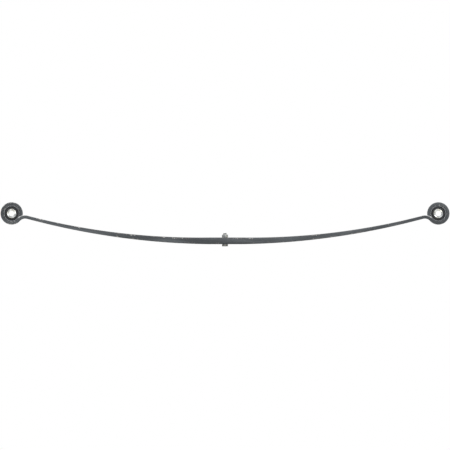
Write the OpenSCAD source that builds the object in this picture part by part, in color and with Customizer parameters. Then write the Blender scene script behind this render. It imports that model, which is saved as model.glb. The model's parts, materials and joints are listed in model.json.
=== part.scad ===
// Mono-leaf suspension spring: one tapered steel leaf with a rolled eye at each end,
// a centre bolt with its nut, and a bonded rubber bush pressed into each eye.
//
// Frame: +X along the spring towards the front eye, +Y across its width, +Z up.
// Origin: the middle of the seat's underside, on the centre bolt's axis.
// The rear half mirrors the front half in the plane x = 0.

/* [Spring] */
// Distance between the two eye centres
eye_span = 1200; // [960:5:1440]
// Height of the eye centres above the middle of the seat's thickness
camber = 77; // [60:1:100]
// Width of the leaf
leaf_w = 70; // [50:1:90]

/* [Leaf thickness] */
// Thickness at the seat
seat_t = 19; // [14:0.5:24]
// Thickness of the neck and of the rolled eye's wall
tip_t = 9; // [7:0.5:12]
// How the arm thins from seat to neck: 1 is a straight wedge, more is hollower
taper_power = 1.35; // [1:0.05:1.8]
// Length of the flat, full-thickness seat
seat_len = 90; // [60:5:140]

/* [Rolled eyes] */
// Bore of each eye
eye_bore = 45; // [36:0.5:60]
// Distance of the eye centre below the line of the arm, carried on past the neck
eye_drop = 1.2; // [-3:0.1:6]
// Radius of the reverse bend beside the eye, at mid-thickness
neck_r = 24; // [18:0.5:36]
// Gap between the rolled end and the neck that it closes on
roll_gap = 0.8; // [0.4:0.1:2]
// Angle that the blunt inner corner of the rolled end is cut back from the neck
end_cut_deg = 20; // [12:1:26]

/* [Centre bolt] */
// Thread diameter
bolt_d = 10; // [8:1:14]
// Diameter of the round locating head
head_d = 17; // [14:0.5:24]
// Height of the locating head
head_h = 6; // [4:0.5:12]
// Nut size across its flats
nut_af = 17; // [15:0.5:24]
// Height of the nut
nut_h = 8; // [6:0.5:12]
// Length of bolt standing above the nut
bolt_end = 4.6; // [2:0.2:12]
// Clearance of the bolt in the leaf's hole, on the radius
hole_gap = 0.25; // [0.1:0.05:1]
// Clearance between the nut's thread and the bolt's, on the radius
thread_gap = 0.03; // [0.02:0.01:0.1]

/* [Eye bushes] */
// Wall of the outer sleeve
outer_wall = 2; // [1:0.1:3]
// Distance from the leaf's edge to the end of the outer sleeve
outer_inset = 2; // [0:0.5:6]
// Bore of the inner sleeve, for the eye bolt
inner_bore = 16.2; // [12.2:0.1:18.2]
// Wall of the inner sleeve
inner_wall = 4.9; // [3:0.1:6]
// How far the inner sleeve stands out past the leaf's edge
inner_stand = 3; // [1:0.5:8]
// Clearance between the outer sleeve and the eye, on the radius
press_gap = 0.02; // [0.01:0.01:0.05]
// Clearance between the rubber and the inner sleeve that turns in it, on the radius
turn_gap = 0.02; // [0.01:0.01:0.05]
// Distance from the outer sleeve's end to the rubber's rim
rubber_inset = 1; // [0.5:0.5:4]
// Depth of the hollow moulded in each end of the rubber
rubber_dish = 3; // [1:0.5:6]
// Chamfer on the sleeves' ends
sleeve_chamfer = 0.8; // [0.3:0.1:1.2]

/* [Hidden] */
$fn = 96;

// The two halves of the spring
FRONT = 1;
REAR = -1;
// Straight facets along each surface of an arm
arm_steps = 36;
// Degrees to each facet round the neck and the eye
facet_deg = 4;
// Facets across the hollow in the rubber's end
dish_steps = 8;
// Overshoot of every cutting shape
over = 1;
// How far short of the bore's circle the neck's upper surface ends, as an angle of the
// neck: the two touch there, and a clean corner is wanted
ease_deg = 3;

// The leaf's mid-line is drawn with z = 0 at the middle of the seat's thickness
seat_half = seat_len / 2;
eye_x = eye_span / 2;
eye_mid_r = eye_bore / 2 + tip_t / 2;
eye_out_r = eye_bore / 2 + tip_t;

// The arm is one arc, tangent to the seat, that passes eye_drop above the eye centre
arm_r = (pow(eye_x - seat_half, 2) + pow(camber, 2) - pow(eye_drop, 2)) / (2 * (camber + eye_drop));
arm_c = [seat_half, arm_r];
eye_c = [eye_x, camber];

// The neck's centre lies neck_r outside both the arm's arc and the eye's mid-line
centre_dist = arm_r + eye_drop;
to_neck_arm = arm_r + neck_r;
to_neck_eye = eye_mid_r + neck_r;
along = (pow(centre_dist, 2) + pow(to_neck_arm, 2) - pow(to_neck_eye, 2)) / (2 * centre_dist);
aside = sqrt(pow(to_neck_arm, 2) - pow(along, 2));
unit_ce = (eye_c - arm_c) / centre_dist;
neck_c = arm_c + along * unit_ce + aside * [unit_ce.y, -unit_ce.x];

// Angle of the arm's arc from the seat to the neck, and directions from the neck's centre
arm_angle = atan2(neck_c.x - arm_c.x, arm_c.y - neck_c.y);
dir_to_arm = atan2(arm_c.y - neck_c.y, arm_c.x - neck_c.x);
dir_to_eye = atan2(eye_c.y - neck_c.y, eye_c.x - neck_c.x);
dir_to_neck = dir_to_eye + 180;

// Where the scarf meets the eye's outside, as an angle at the eye centre from the neck
scarf_arc_r = neck_r + tip_t / 2 + roll_gap;
scarf_deg = acos(
    (pow(to_neck_eye, 2) + pow(eye_out_r, 2) - pow(scarf_arc_r, 2)) / (2 * to_neck_eye * eye_out_r)
);

// Bush sizes that follow from the eye and the leaf
outer_r = eye_bore / 2 - press_gap;
outer_in_r = outer_r - outer_wall;
outer_len = leaf_w - 2 * outer_inset;
inner_r = inner_bore / 2 + inner_wall;
inner_len = leaf_w + 2 * inner_stand;
rubber_in_r = inner_r + turn_gap;
rubber_len = outer_len - 2 * rubber_inset;
eye_z = seat_t / 2 + camber;

// Chamfers of the bolt and nut
head_chamfer = 0.8;
bolt_chamfer = 1.2;
nut_chamfer_deg = 30;
nut_corner_r = nut_af / 2 / cos(30);
nut_chamfer_h = (nut_corner_r - nut_af / 2) * tan(nut_chamfer_deg);

// Thickness of the arm at share f of the way from the seat to the neck
function arm_t(f) = tip_t + (seat_t - tip_t) * pow(1 - f, taper_power);

// Point at share f along the arm; side is 1 on its upper surface and -1 on its lower
function arm_point(f, side) =
    let (a = f * arm_angle, r = arm_r - side * arm_t(f) / 2)
    arm_c + r * [sin(a), -cos(a)];

// Points along a circle of radius r at point c, from angle a0 to angle a1
function arc(c, r, a0, a1) =
    let (steps = ceil(abs(a1 - a0) / facet_deg))
    [for (i = [0 : steps]) polar(c, r, a0 + (a1 - a0) * i / steps)];

// Point at distance r from point c, in direction a
function polar(c, r, a) = c + r * [cos(a), sin(a)];

// Distance from the eye centre to the scarf, in the direction that lies a degrees from
// the neck's centre. The scarf is an arc about the neck's centre, roll_gap off the neck
function scarf_r(a) = to_neck_eye * cos(a) - sqrt(pow(scarf_arc_r, 2) - pow(to_neck_eye * sin(a), 2));

// The scarfed end of the roll, from its outer corner in to its blunt inner corner
function scarf() =
    let (steps = ceil((scarf_deg - end_cut_deg) / facet_deg))
    [
        for (i = [0 : steps])
            let (a = scarf_deg + (end_cut_deg - scarf_deg) * i / steps)
            polar(eye_c, scarf_r(a), dir_to_neck - a)
    ];

// Half of the leaf's outline, in order: the arm's lower surface, the neck's, round the
// outside of the eye, in along the scarf, through the bore's space to the neck's upper
// surface, and back along the arm's upper surface
function half_outline() = concat(
    [for (i = [0 : arm_steps - 1]) arm_point(i / arm_steps, -1)],
    arc(neck_c, neck_r - tip_t / 2, dir_to_arm, dir_to_eye + facet_deg),
    arc(eye_c, eye_out_r, dir_to_neck, dir_to_neck + 360 - scarf_deg - facet_deg),
    scarf(),
    [
        polar(eye_c, eye_bore / 2 - over, dir_to_neck - end_cut_deg),
        polar(eye_c, eye_bore / 2 - over, dir_to_neck)
    ],
    arc(neck_c, neck_r + tip_t / 2, dir_to_eye + ease_deg, dir_to_arm - facet_deg),
    [for (i = [arm_steps : -1 : 0]) arm_point(i / arm_steps, 1)]
);

// The whole outline: the front half and its mirror image
module leaf_outline() {
    half = half_outline();
    last = len(half) - 1;
    polygon(concat(half, [for (i = [last : -1 : 0]) [-half[i].x, half[i].y]]));
}

// The leaf: its outline extruded across the width, with the centre bolt's hole and the
// bores of the two eyes
module main_leaf() {
    color("dimgray")
        difference() {
            translate([0, 0, seat_t / 2])
                rotate([90, 0, 0])
                linear_extrude(leaf_w, center = true) leaf_outline();
            translate([0, 0, -over])
                cylinder(r = bolt_d / 2 + hole_gap, h = seat_t + 2 * over);
            for (half = [FRONT, REAR])
                in_eye(half) cylinder(d = eye_bore, h = leaf_w + 2 * over, center = true);
        }
}

// The centre bolt: a round head under the seat that locates the axle, threaded end up
module centre_bolt() {
    shank_top = seat_t + nut_h + bolt_end;
    color("silver") {
        translate([0, 0, -head_h])
            cylinder(r1 = head_d / 2 - head_chamfer, r2 = head_d / 2, h = head_chamfer);
        translate([0, 0, head_chamfer - head_h])
            cylinder(d = head_d, h = head_h - head_chamfer);
        cylinder(d = bolt_d, h = shank_top - bolt_chamfer);
        translate([0, 0, shank_top - bolt_chamfer])
            cylinder(r1 = bolt_d / 2, r2 = bolt_d / 2 - bolt_chamfer, h = bolt_chamfer);
    }
}

// A body of revolution that takes the corners off both ends of the nut
module nut_corners() {
    rotate_extrude()
        polygon([
            [0, 0],
            [nut_af / 2, 0],
            [nut_corner_r, nut_chamfer_h],
            [nut_corner_r, nut_h - nut_chamfer_h],
            [nut_af / 2, nut_h],
            [0, nut_h]
        ]);
}

// The hexagon nut, two of its flats facing along the spring
module centre_nut() {
    color("gainsboro")
        translate([0, 0, seat_t])
        difference() {
            intersection() {
                rotate(30) cylinder(r = nut_corner_r, h = nut_h, $fn = 6);
                nut_corners();
            }
            translate([0, 0, -over])
                cylinder(r = bolt_d / 2 + thread_gap, h = nut_h + 2 * over);
        }
}

// Places a body of revolution in one eye, its axis across the leaf
module in_eye(half) {
    translate([half * eye_x, 0, eye_z]) rotate([90, 0, 0]) children();
}

// Tube centred on its length, both ends chamfered outside
module sleeve(r_in, r_out, len) {
    rotate_extrude()
        polygon([
            [r_in, -len / 2],
            [r_out - sleeve_chamfer, -len / 2],
            [r_out, sleeve_chamfer - len / 2],
            [r_out, len / 2 - sleeve_chamfer],
            [r_out - sleeve_chamfer, len / 2],
            [r_in, len / 2]
        ]);
}

// Steel shell that is pressed into the eye
module bush_outer_sleeve(half) {
    color("darkgray") in_eye(half) sleeve(outer_in_r, outer_r, outer_len);
}

// Steel tube that the eye bolt clamps between the cheeks of the bracket
module bush_inner_sleeve(half) {
    color("lightgray") in_eye(half) sleeve(inner_bore / 2, inner_r, inner_len);
}

// Moulded rubber between the sleeves, both of its ends hollowed to a half wave
module bush_rubber(half) {
    function dish_point(i, end) =
        let (u = i / dish_steps)
        [
            rubber_in_r + u * (outer_in_r - rubber_in_r),
            end * (rubber_len / 2 - rubber_dish * sin(180 * u))
        ];
    color("black")
        in_eye(half)
        rotate_extrude()
            polygon(concat(
                [for (i = [0 : dish_steps]) dish_point(i, -1)],
                [for (i = [dish_steps : -1 : 0]) dish_point(i, 1)]
            ));
}

main_leaf();
centre_bolt();
centre_nut();
bush_outer_sleeve(FRONT);  // front_bush_outer_sleeve
bush_rubber(FRONT);  // front_bush_rubber
bush_inner_sleeve(FRONT);  // front_bush_inner_sleeve
bush_outer_sleeve(REAR);  // rear_bush_outer_sleeve
bush_rubber(REAR);  // rear_bush_rubber
bush_inner_sleeve(REAR);  // rear_bush_inner_sleeve
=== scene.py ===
"""Looks of a single-leaf suspension spring: a painted leaf with two rolled eyes, the rubber
bushes in them, and the centre bolt with its nut.

Lengths are in metres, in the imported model's frame: +X along the spring to its front eye, +Y
across it, +Z up, with the origin under the middle of the seat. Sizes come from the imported
nodes' boxes, and what a box can't tell is a field of the piece's class.
"""

from __future__ import annotations

import json
import logging
import math
from abc import ABC, abstractmethod
from dataclasses import dataclass
from enum import Enum
from typing import Any

import bmesh
import bpy
import numpy as np
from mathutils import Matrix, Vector, noise

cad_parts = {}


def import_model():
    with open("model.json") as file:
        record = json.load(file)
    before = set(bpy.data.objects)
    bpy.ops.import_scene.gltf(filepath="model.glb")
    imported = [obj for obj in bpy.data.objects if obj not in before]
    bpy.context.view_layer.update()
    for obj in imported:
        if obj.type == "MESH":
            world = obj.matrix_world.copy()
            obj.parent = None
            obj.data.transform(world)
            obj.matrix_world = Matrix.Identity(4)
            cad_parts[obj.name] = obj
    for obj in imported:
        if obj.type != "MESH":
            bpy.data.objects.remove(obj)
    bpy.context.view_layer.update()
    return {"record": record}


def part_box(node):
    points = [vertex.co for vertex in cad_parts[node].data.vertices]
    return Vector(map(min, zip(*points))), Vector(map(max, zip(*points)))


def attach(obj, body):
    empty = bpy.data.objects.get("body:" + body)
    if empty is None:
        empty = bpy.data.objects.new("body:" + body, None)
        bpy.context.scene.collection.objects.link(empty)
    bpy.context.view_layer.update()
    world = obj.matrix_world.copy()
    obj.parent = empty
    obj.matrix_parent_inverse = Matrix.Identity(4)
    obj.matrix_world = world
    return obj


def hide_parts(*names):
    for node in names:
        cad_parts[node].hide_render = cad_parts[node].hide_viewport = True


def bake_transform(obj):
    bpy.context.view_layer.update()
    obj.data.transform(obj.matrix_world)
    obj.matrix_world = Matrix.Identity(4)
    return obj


LOG = logging.getLogger("leaf_spring")
MM = 0.001
TAU = 2 * math.pi
# Names of the attributes that every mesh carries for its finish
FLOW = "flow"
WEAR = "wear"
# Radius at which an outline that reaches its axis ends
AXIS_R = 0.1 * MM
# How far short of its first point a looped outline ends
LOOP_GAP = 0.5 * MM
# The most of a stretch that the rounding of a corner takes, and the least that it is rubbed
CORNER_SHARE = 0.45
CORNER_WEAR = 0.8


class Half(Enum):
    """The two mirrored halves of the spring."""

    FRONT = 1
    REAR = -1

    @property
    def label(self) -> str:
        """The half's name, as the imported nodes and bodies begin."""
        return self.name.lower()

    @property
    def eye_body(self) -> str:
        """The body that carries this half's eye."""
        return f"{self.label}_eye"


# --------------------------------------------------------------------------------------
# Shader helpers
# --------------------------------------------------------------------------------------

# What goes into a node, by socket or in the sockets' order: a socket to link from, or a value
Inputs = dict[str | int, Any] | tuple[Any, ...]
# What a Map Range node takes after its value: the ends of its input, then of its output
Span = tuple[float, float, float, float]


def linear(hex_colour: str) -> tuple[float, float, float, float]:
    """Turn an sRGB colour into the linear one that shaders take.

    Args:
        hex_colour: the colour as "#rrggbb".

    Returns:
        Linear red, green, blue and an alpha of 1.
    """
    parts = [int(hex_colour[i : i + 2], 16) / 255 for i in (1, 3, 5)]
    low = [c / 12.92 if c <= 0.04045 else ((c + 0.055) / 1.055) ** 2.4 for c in parts]
    return (low[0], low[1], low[2], 1.0)


def per_metre(size_mm: float) -> float:
    """The texture scale that gives a pattern whose parts are size_mm across."""
    return 1 / (size_mm * MM)


def feed(tree: bpy.types.NodeTree, node: bpy.types.Node, inputs: Inputs) -> None:
    """Give a node its inputs.

    Args:
        tree: the node tree that it is in.
        node: the node.
        inputs: what goes into it.
    """
    for key, value in inputs.items() if isinstance(inputs, dict) else enumerate(inputs):
        if isinstance(value, bpy.types.NodeSocket):
            tree.links.new(value, node.inputs[key])
        else:
            node.inputs[key].default_value = value


def add_node(
    tree: bpy.types.NodeTree, kind: str, inputs: Inputs = (), **settings: Any
) -> bpy.types.Node:
    """Add one node, with its settings and what goes into it.

    Args:
        tree: the node tree that it joins.
        kind: Blender's name of the node.
        inputs: what goes into it.
        settings: the node's own properties.

    Returns:
        The new node.
    """
    node = tree.nodes.new(kind)
    for name, value in settings.items():
        setattr(node, name, value)
    feed(tree, node, inputs)
    return node


class Finish(ABC):
    """How a real material looks. A subclass is a frozen dataclass of its sizes and colours."""

    name: str

    def make(self) -> bpy.types.Material:
        """Build the material.

        Returns:
            The material, wired and named.
        """
        material = bpy.data.materials.new(self.name)
        material.use_nodes = True
        tree = material.node_tree
        feed(tree, tree.nodes["Principled BSDF"], self.wire(tree))
        return material

    @abstractmethod
    def wire(self, tree: bpy.types.NodeTree) -> Inputs:
        """Lay out the material's pattern.

        Args:
            tree: the material's node tree.

        Returns:
            For each socket of the Principled shader, what goes into it.
        """


@dataclass(frozen=True)
class GraphitePaint(Finish):
    """Graphite chassis enamel, sprayed and stoved over shot-peened chrome-vanadium steel.

    It gives the eye a dark grey satin skin over fine peening dimples, faded in streaks
    along the leaf, rubbed through to bright steel along the rolled edges, with a brown
    stain round each chip.
    """

    name: str = "graphite_enamel_on_spring_steel"
    colour: str = "#34373a"
    thin_colour: str = "#55595c"
    steel: str = "#b0b0ac"
    rust: str = "#4f3a2e"
    # Streaks where the paint is thin: their length, their width across, and how they fade
    streak_long_mm: float = 140.0
    streak_wide_mm: float = 16.0
    streak: Span = (0.42, 0.70, 0.0, 0.75)
    # Fine scratches from handling, drawn along the leaf
    scratch_long_mm: float = 60.0
    scratch_wide_mm: float = 0.9
    scratch: Span = (0.60, 0.74, 0.0, 0.7)
    # A peening dimple is about 0.5 mm across: drawn coarser, so that it shows
    peen_mm: float = 1.7
    # Orange peel left by the spray gun, its share of the relief and of the gloss
    peel_mm: float = 5.0
    peel_relief: float = 0.9
    peel_gloss: float = 0.16
    # Roughness from full to thin paint
    gloss: Span = (0.0, 1.0, 0.30, 0.52)
    chip_mm: float = 2.4
    # Stretches of edge that have been knocked about, and how much more they are rubbed
    patch_mm: float = 30.0
    patch: Span = (0.38, 0.62, 0.10, 0.36)
    # Exposure at which the steel is bare, and at which the paint is stained
    bare: Span = (0.80, 0.84, 0.0, 1.0)
    stain: Span = (0.74, 0.81, 0.0, 0.7)
    # How deep a chip lies, as a share of the relief
    chip_relief: float = -0.5
    # Turning the nut scuffs a ring of paint round it: its radius, the share of that which is
    # fully scuffed, and how hard
    scuff_mm: float = 11.5
    scuff_full: float = 0.75
    scuff: float = 0.24

    def wire(self, tree: bpy.types.NodeTree) -> Inputs:
        """Lay out the material's pattern.

        Args:
            tree: the material's node tree.

        Returns:
            For each socket of the Principled shader, what goes into it.
        """
        flow = add_node(tree, "ShaderNodeAttribute", attribute_name=FLOW).outputs["Vector"]
        thinness = self.streaks(tree, flow)
        exposure = self.exposure(tree, flow)
        bare = add_node(tree, "ShaderNodeMapRange", (exposure, *self.bare)).outputs[0]
        rim = add_node(tree, "ShaderNodeMapRange", (exposure, *self.stain)).outputs[0]
        peel = add_node(
            tree,
            "ShaderNodeTexNoise",
            {"Vector": flow, "Scale": per_metre(self.peel_mm), "Detail": 3.0},
        ).outputs["Fac"]
        gloss = add_node(tree, "ShaderNodeMapRange", (thinness, *self.gloss)).outputs[0]
        gloss = add_node(
            tree,
            "ShaderNodeMath",
            (peel, self.peel_gloss, gloss),
            operation="MULTIPLY_ADD",
        ).outputs[0]
        height = add_node(
            tree,
            "ShaderNodeTexVoronoi",
            {"Vector": flow, "Scale": per_metre(self.peen_mm), "Smoothness": 0.5},
            feature="SMOOTH_F1",
        ).outputs["Distance"]
        for layer, share in ((peel, self.peel_relief), (bare, self.chip_relief)):
            height = add_node(
                tree, "ShaderNodeMath", (layer, share, height), operation="MULTIPLY_ADD"
            ).outputs[0]
        bump = add_node(
            tree,
            "ShaderNodeBump",
            {"Height": height, "Strength": 0.8, "Distance": 0.3 * MM},
        ).outputs[0]
        return {
            "Base Color": self.colours(tree, thinness, rim, bare),
            "Metallic": bare,
            "Roughness": gloss,
            "Normal": bump,
            "Specular IOR Level": 0.35,
        }

    def streaks(
        self, tree: bpy.types.NodeTree, flow: bpy.types.NodeSocket
    ) -> bpy.types.NodeSocket:
        """Mark where the paint is thin, in long streaks crossed by fine scratches.

        Args:
            tree: the material's node tree.
            flow: place along, across and through the leaf.

        Returns:
            A socket from 0, full paint, to 1, thin paint.
        """
        drawn = []
        for long_mm, wide_mm, span in (
            (self.streak_long_mm, self.streak_wide_mm, self.streak),
            (self.scratch_long_mm, self.scratch_wide_mm, self.scratch),
        ):
            across = per_metre(wide_mm)
            stretched = add_node(
                tree,
                "ShaderNodeMapping",
                {"Vector": flow, "Scale": (per_metre(long_mm), across, across)},
            ).outputs[0]
            noisy = add_node(
                tree, "ShaderNodeTexNoise", {"Vector": stretched, "Scale": 1.0, "Detail": 5.0}
            ).outputs["Fac"]
            drawn.append(add_node(tree, "ShaderNodeMapRange", (noisy, *span)).outputs[0])
        return add_node(
            tree, "ShaderNodeMath", (drawn[0], drawn[1]), operation="ADD", use_clamp=True
        ).outputs[0]

    def exposure(
        self, tree: bpy.types.NodeTree, flow: bpy.types.NodeSocket
    ) -> bpy.types.NodeSocket:
        """Work out how close the steel is to showing: on edges, in patches, by the nut.

        Args:
            tree: the material's node tree.
            flow: place along, across and through the leaf.

        Returns:
            A socket that is highest where the paint has gone.
        """
        wear = add_node(tree, "ShaderNodeAttribute", attribute_name=WEAR).outputs["Fac"]
        chips = add_node(
            tree,
            "ShaderNodeTexNoise",
            {"Vector": flow, "Scale": per_metre(self.chip_mm), "Detail": 5.0, "Roughness": 0.6},
        ).outputs["Fac"]
        patches = add_node(
            tree,
            "ShaderNodeTexNoise",
            {"Vector": flow, "Scale": per_metre(self.patch_mm), "Detail": 2.0},
        ).outputs["Fac"]
        patches = add_node(tree, "ShaderNodeMapRange", (patches, *self.patch)).outputs[0]
        rubbed = add_node(tree, "ShaderNodeMath", (wear, patches), operation="MULTIPLY").outputs[0]
        flat = add_node(
            tree, "ShaderNodeVectorMath", (flow, (1.0, 1.0, 0.0)), operation="MULTIPLY"
        ).outputs[0]
        radius = add_node(
            tree, "ShaderNodeVectorMath", (flat,), operation="LENGTH"
        ).outputs["Value"]
        reach = self.scuff_mm * MM
        ring = (self.scuff_full * reach, reach, self.scuff, 0.0)
        scuffed = add_node(tree, "ShaderNodeMapRange", (radius, *ring)).outputs[0]
        rubbed = add_node(
            tree, "ShaderNodeMath", (rubbed, scuffed), operation="MAXIMUM"
        ).outputs[0]
        return add_node(tree, "ShaderNodeMath", (chips, rubbed), operation="ADD").outputs[0]

    def colours(
        self,
        tree: bpy.types.NodeTree,
        thinness: bpy.types.NodeSocket,
        rim: bpy.types.NodeSocket,
        bare: bpy.types.NodeSocket,
    ) -> bpy.types.NodeSocket:
        """Lay the colours over each other: paint, the stain round the chips, bare steel.

        Args:
            tree: the material's node tree.
            thinness: where the paint is thin.
            rim: where it is stained.
            bare: where it has gone.

        Returns:
            The colour.
        """
        colour: Any = linear(self.colour)
        for share, over in ((thinness, self.thin_colour), (rim, self.rust), (bare, self.steel)):
            colour = add_node(
                tree,
                "ShaderNodeMix",
                {0: share, 6: colour, 7: linear(over)},
                data_type="RGBA",
            ).outputs[2]
        return colour


@dataclass(frozen=True)
class ZincPlate(Finish):
    """Bright zinc plate, blue-passivated, over turned and cold-formed steel.

    It gives the eye a pale silver metal with a faint blue and straw cast, fine rings from
    the lathe, and a soft, slightly cloudy shine.
    """

    name: str = "zinc_plated_steel"
    colour: str = "#a9aaa8"
    blue: str = "#979da4"
    straw: str = "#b3ae9c"
    # Where the cloudiness turns blue and where straw, with the plain colour between them
    blue_at: float = 0.35
    plain_at: float = 0.5
    straw_at: float = 0.68
    cloud_mm: float = 4.0
    # Grain of the plate, and its share of the relief
    grain_mm: float = 0.8
    grain_relief: float = 0.8
    # Lathe feed is about 0.15 mm a turn: drawn coarser, so that the rings show
    ring_mm: float = 0.6
    ring_depth: float = 0.3
    # Roughness from the clearest to the cloudiest plate, and how rubbing smooths it
    clouded: Span = (0.3, 0.7, 0.28, 0.44)
    polish: float = -0.1

    def wire(self, tree: bpy.types.NodeTree) -> Inputs:
        """Lay out the material's pattern.

        Args:
            tree: the material's node tree.

        Returns:
            For each socket of the Principled shader, what goes into it.
        """
        flow = add_node(tree, "ShaderNodeAttribute", attribute_name=FLOW).outputs["Vector"]
        wear = add_node(tree, "ShaderNodeAttribute", attribute_name=WEAR).outputs["Fac"]
        cloud = add_node(
            tree,
            "ShaderNodeTexNoise",
            {"Vector": flow, "Scale": per_metre(self.cloud_mm), "Detail": 4.0},
        ).outputs["Fac"]
        tint = add_node(tree, "ShaderNodeValToRGB", {"Fac": cloud})
        ramp = tint.color_ramp
        ramp.elements[0].position = self.blue_at
        ramp.elements[0].color = linear(self.blue)
        ramp.elements[1].position = self.straw_at
        ramp.elements[1].color = linear(self.straw)
        ramp.elements.new(self.plain_at).color = linear(self.colour)
        rings = add_node(
            tree,
            "ShaderNodeTexWave",
            {
                "Vector": flow,
                "Scale": per_metre(self.ring_mm) / TAU,
                "Distortion": 0.6,
                "Detail": 2.0,
            },
            wave_type="BANDS",
            bands_direction="X",
        ).outputs["Fac"]
        grain = add_node(
            tree,
            "ShaderNodeTexNoise",
            {"Vector": flow, "Scale": per_metre(self.grain_mm), "Detail": 2.0},
        ).outputs["Fac"]
        rough = add_node(tree, "ShaderNodeMapRange", (cloud, *self.clouded)).outputs[0]
        rough = add_node(
            tree, "ShaderNodeMath", (wear, self.polish, rough), operation="MULTIPLY_ADD"
        ).outputs[0]
        height = add_node(
            tree, "ShaderNodeMath", (grain, self.grain_relief, rings), operation="MULTIPLY_ADD"
        ).outputs[0]
        bump = add_node(
            tree,
            "ShaderNodeBump",
            {"Height": height, "Strength": self.ring_depth, "Distance": 0.03 * MM},
        ).outputs[0]
        return {"Base Color": tint.outputs[0], "Roughness": rough, "Normal": bump, "Metallic": 1.0}


@dataclass(frozen=True)
class PhosphatedTube(Finish):
    """Cold-drawn steel tube, zinc-phosphated so that the rubber bonds to it.

    It gives the eye a mid-grey, matt metal with faint lines along the draw.
    """

    name: str = "phosphated_drawn_tube"
    colour: str = "#84878a"
    dark: str = "#5c5f62"
    draw_line_mm: float = 0.9
    draw_length_mm: float = 40.0
    crystal_mm: float = 0.7
    # How much the crystals and the rubbing lighten it
    lighten: float = 0.5
    # Roughness from the darkest phosphate to where it is rubbed
    gloss: Span = (0.2, 1.2, 0.56, 0.4)

    def wire(self, tree: bpy.types.NodeTree) -> Inputs:
        """Lay out the material's pattern.

        Args:
            tree: the material's node tree.

        Returns:
            For each socket of the Principled shader, what goes into it.
        """
        flow = add_node(tree, "ShaderNodeAttribute", attribute_name=FLOW).outputs["Vector"]
        wear = add_node(tree, "ShaderNodeAttribute", attribute_name=WEAR).outputs["Fac"]
        across = per_metre(self.draw_line_mm)
        drawn = add_node(
            tree,
            "ShaderNodeMapping",
            {"Vector": flow, "Scale": (per_metre(self.draw_length_mm), across, across)},
        ).outputs[0]
        lines = add_node(
            tree, "ShaderNodeTexNoise", {"Vector": drawn, "Scale": 1.0, "Detail": 3.0}
        ).outputs["Fac"]
        crystals = add_node(
            tree,
            "ShaderNodeTexVoronoi",
            {"Vector": flow, "Scale": per_metre(self.crystal_mm)},
        ).outputs["Distance"]
        shade = lines
        for layer in (crystals, wear):
            shade = add_node(
                tree, "ShaderNodeMath", (layer, self.lighten, shade), operation="MULTIPLY_ADD"
            ).outputs[0]
        colour = add_node(
            tree,
            "ShaderNodeMix",
            {0: shade, 6: linear(self.dark), 7: linear(self.colour)},
            data_type="RGBA",
        ).outputs[2]
        bump = add_node(
            tree,
            "ShaderNodeBump",
            {"Height": lines, "Strength": 0.3, "Distance": 0.04 * MM},
        ).outputs[0]
        return {
            "Base Color": colour,
            "Roughness": add_node(tree, "ShaderNodeMapRange", (shade, *self.gloss)).outputs[0],
            "Normal": bump,
            "Metallic": 1.0,
        }


@dataclass(frozen=True)
class MouldedRubber(Finish):
    """Carbon-filled natural rubber, moulded between the sleeves.

    It gives the eye a soft black that greys where wax has bloomed, with the mould's fine
    blasted texture and next to no shine.
    """

    name: str = "moulded_natural_rubber"
    colour: str = "#1b1b1c"
    bloom: str = "#35363a"
    bloom_mm: float = 7.0
    bloomed: Span = (0.4, 0.75, 0.0, 1.0)
    # How much rubbing greys it
    greyed: float = 0.5
    # The mould's texture is about 0.1 mm: drawn coarser, so that it shows
    texture_mm: float = 0.5
    # Roughness from clean to bloomed rubber
    gloss: Span = (0.0, 1.0, 0.58, 0.78)

    def wire(self, tree: bpy.types.NodeTree) -> Inputs:
        """Lay out the material's pattern.

        Args:
            tree: the material's node tree.

        Returns:
            For each socket of the Principled shader, what goes into it.
        """
        flow = add_node(tree, "ShaderNodeAttribute", attribute_name=FLOW).outputs["Vector"]
        wear = add_node(tree, "ShaderNodeAttribute", attribute_name=WEAR).outputs["Fac"]
        patches = add_node(
            tree,
            "ShaderNodeTexNoise",
            {"Vector": flow, "Scale": per_metre(self.bloom_mm), "Detail": 4.0},
        ).outputs["Fac"]
        bloom = add_node(tree, "ShaderNodeMapRange", (patches, *self.bloomed)).outputs[0]
        bloom = add_node(
            tree, "ShaderNodeMath", (wear, self.greyed, bloom), operation="MULTIPLY_ADD"
        ).outputs[0]
        colour = add_node(
            tree,
            "ShaderNodeMix",
            {0: bloom, 6: linear(self.colour), 7: linear(self.bloom)},
            data_type="RGBA",
        ).outputs[2]
        pebble = add_node(
            tree,
            "ShaderNodeTexNoise",
            {"Vector": flow, "Scale": per_metre(self.texture_mm), "Detail": 3.0},
        ).outputs["Fac"]
        bump = add_node(
            tree,
            "ShaderNodeBump",
            {"Height": pebble, "Strength": 0.5, "Distance": 0.08 * MM},
        ).outputs[0]
        return {
            "Base Color": colour,
            "Roughness": add_node(tree, "ShaderNodeMapRange", (bloom, *self.gloss)).outputs[0],
            "Normal": bump,
            "IOR": 1.52,
        }


@dataclass(frozen=True)
class PaleFloor(Finish):
    """Matt white card, rolled out on the studio floor: it gives a clean, pale ground."""

    name: str = "matt_white_card"
    colour: str = "#f1f1ef"
    fibre_mm: float = 2.0
    gloss: Span = (0.3, 0.7, 0.88, 0.96)

    def wire(self, tree: bpy.types.NodeTree) -> Inputs:
        """Lay out the material's pattern.

        Args:
            tree: the material's node tree.

        Returns:
            For each socket of the Principled shader, what goes into it.
        """
        place = add_node(tree, "ShaderNodeTexCoord").outputs["Object"]
        fibre = add_node(
            tree,
            "ShaderNodeTexNoise",
            {"Vector": place, "Scale": per_metre(self.fibre_mm)},
        ).outputs["Fac"]
        return {
            "Base Color": linear(self.colour),
            "Roughness": add_node(tree, "ShaderNodeMapRange", (fibre, *self.gloss)).outputs[0],
            "Specular IOR Level": 0.2,
        }


# --------------------------------------------------------------------------------------
# Meshes
# --------------------------------------------------------------------------------------


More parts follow.
